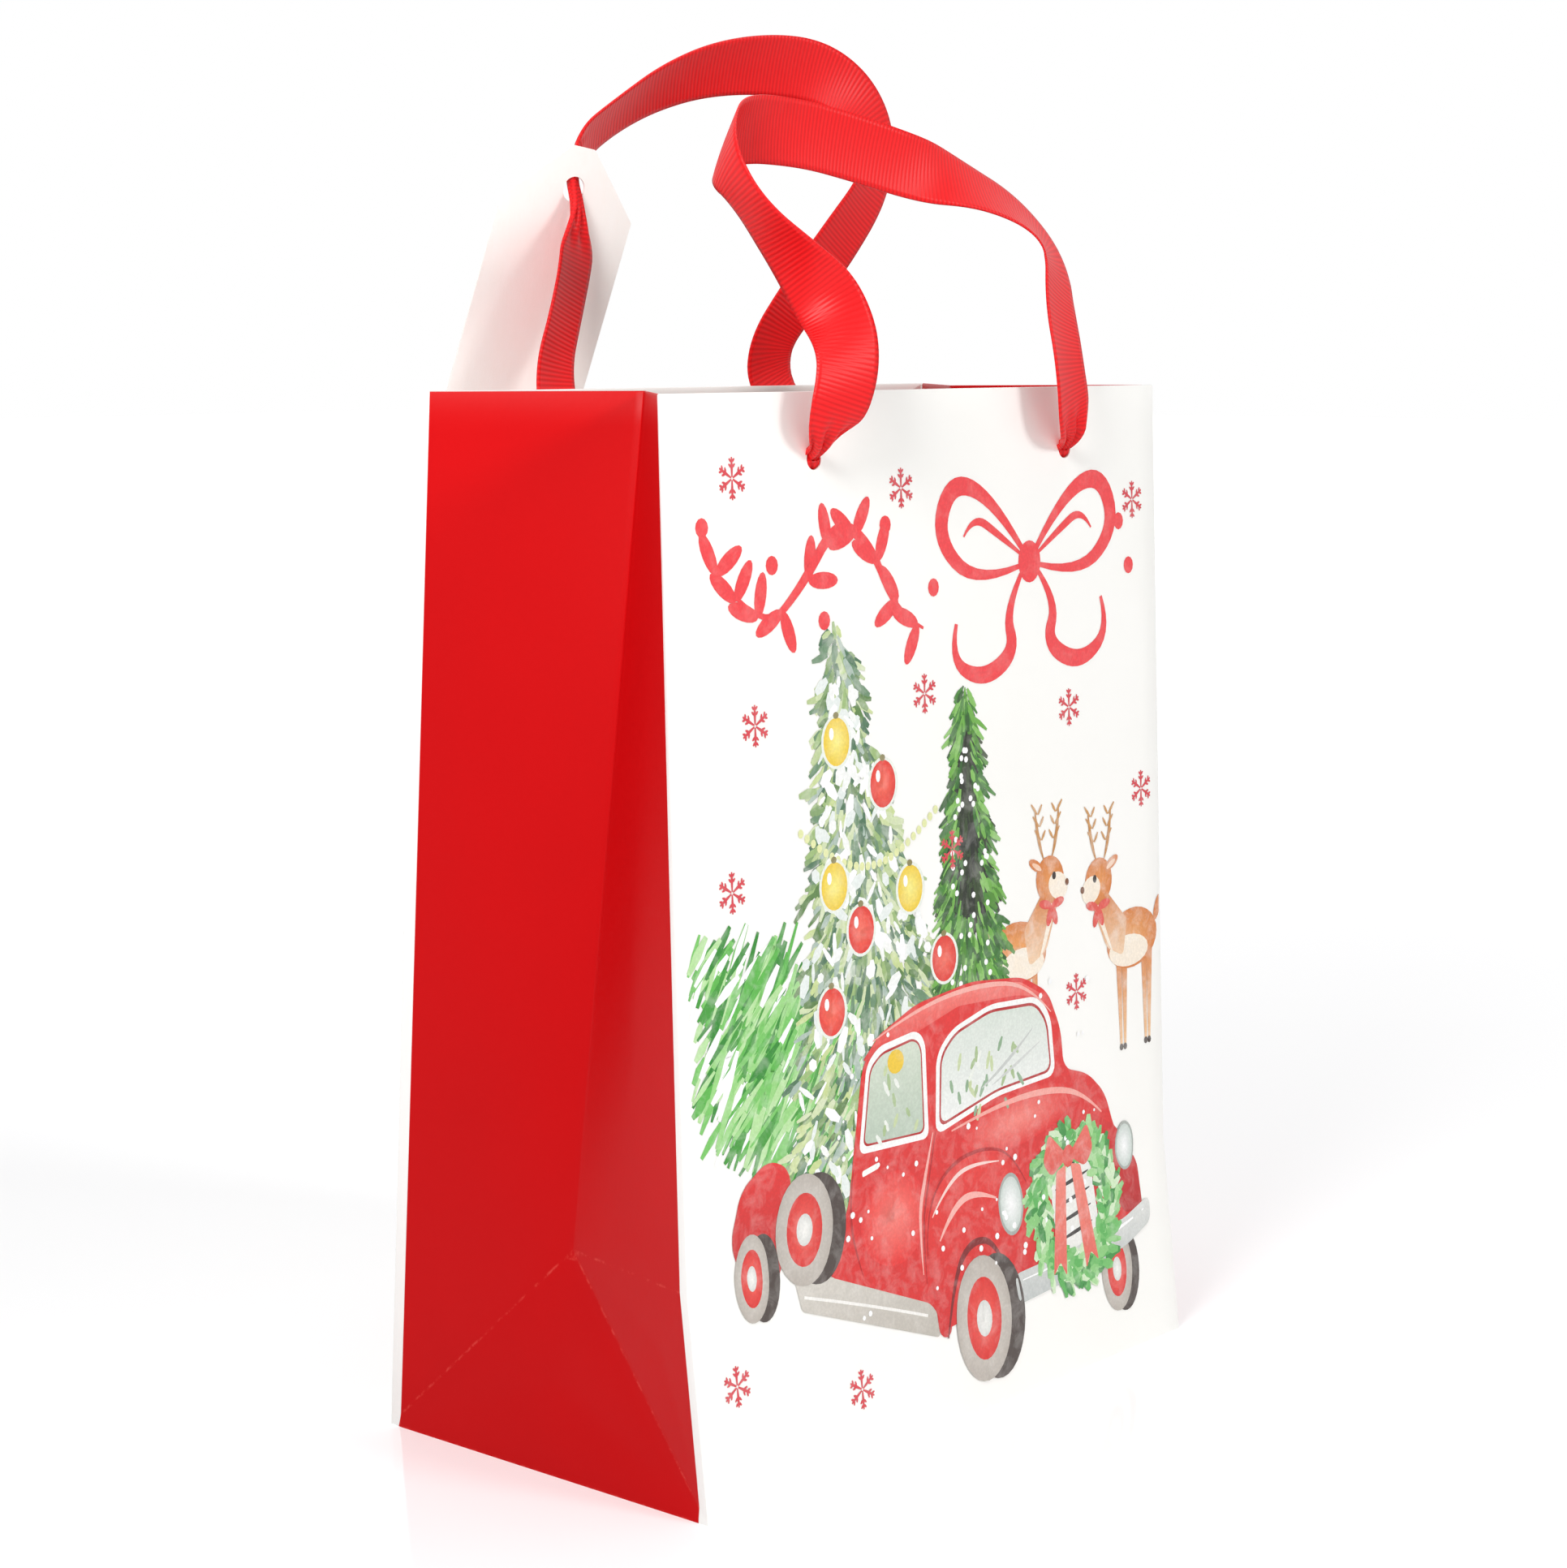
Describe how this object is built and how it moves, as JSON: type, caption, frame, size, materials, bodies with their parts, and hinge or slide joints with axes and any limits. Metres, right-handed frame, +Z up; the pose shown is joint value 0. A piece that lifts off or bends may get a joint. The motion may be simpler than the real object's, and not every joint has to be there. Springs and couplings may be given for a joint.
{
  "type": "gift bag",
  "caption": "Upright paper gift bag with folded-in side panels, a flat base with a loose board, ribbon handles knotted inside and a hang tag.",
  "frame": {"origin": "middle of the base, on the surface that the bag stands on", "axes": "+X to the right along the front panel, front panel on -Y, +Z up"},
  "size_m": [0.18, 0.1205, 0.3195],
  "materials": {
    "panel_paper": "gloss coated, printed",
    "side_paper": "gloss coated, printed red",
    "inner_paper": "uncoated white",
    "grey_card": "uncoated",
    "ribbon": "grosgrain",
    "tag_card": "matte white"
  },
  "bodies": {
    "bag": {"left_side_front": "side_paper", "left_side_rear": "side_paper", "left_side_corner": "side_paper", "left_side_base": "side_paper", "right_side_front": "side_paper", "right_side_rear": "side_paper", "right_side_corner": "side_paper", "right_side_base": "side_paper", "front_panel": "panel_paper", "back_panel": "panel_paper", "front_base_flap": "panel_paper", "back_base_flap": "panel_paper", "left_base_flap": "panel_paper", "right_base_flap": "panel_paper", "front_hem": "inner_paper", "back_hem": "inner_paper", "left_hem_front": "inner_paper", "left_hem_rear": "inner_paper", "right_hem_front": "inner_paper", "right_hem_rear": "inner_paper", "side_seam_tab": "inner_paper", "front_stiffener": "grey_card", "back_stiffener": "grey_card", "base_board": "grey_card", "front_left_knot": "ribbon", "front_right_knot": "ribbon", "back_left_knot": "ribbon", "back_right_knot": "ribbon"},
    "front_handle": {"front_handle": "ribbon"},
    "back_handle": {"back_handle": "ribbon"},
    "hang_tag": {"hang_tag": "tag_card"}
  },
  "joints": [
    {"name": "front_handle_swing", "type": "hinge", "parent": "bag", "child": "front_handle", "pos_m": [0, -0.0455, 0.2314], "axis": [1, 0, 0], "range_deg": [-10, 140]},
    {"name": "back_handle_swing", "type": "hinge", "parent": "bag", "child": "back_handle", "pos_m": [0, 0.0415, 0.2314], "axis": [-1, 0, 0], "range_deg": [-10, 90]},
    {"name": "hang_tag_swing", "type": "hinge", "parent": "back_handle", "child": "hang_tag", "pos_m": [-0.0283, 0.0462, 0.286], "axis": [-1, 0, 0], "range_deg": [-90, 10]}
  ],
  "couplings": [
    {"joint": "hang_tag_swing", "follows": "back_handle_swing", "ratio": -1}
  ]
}
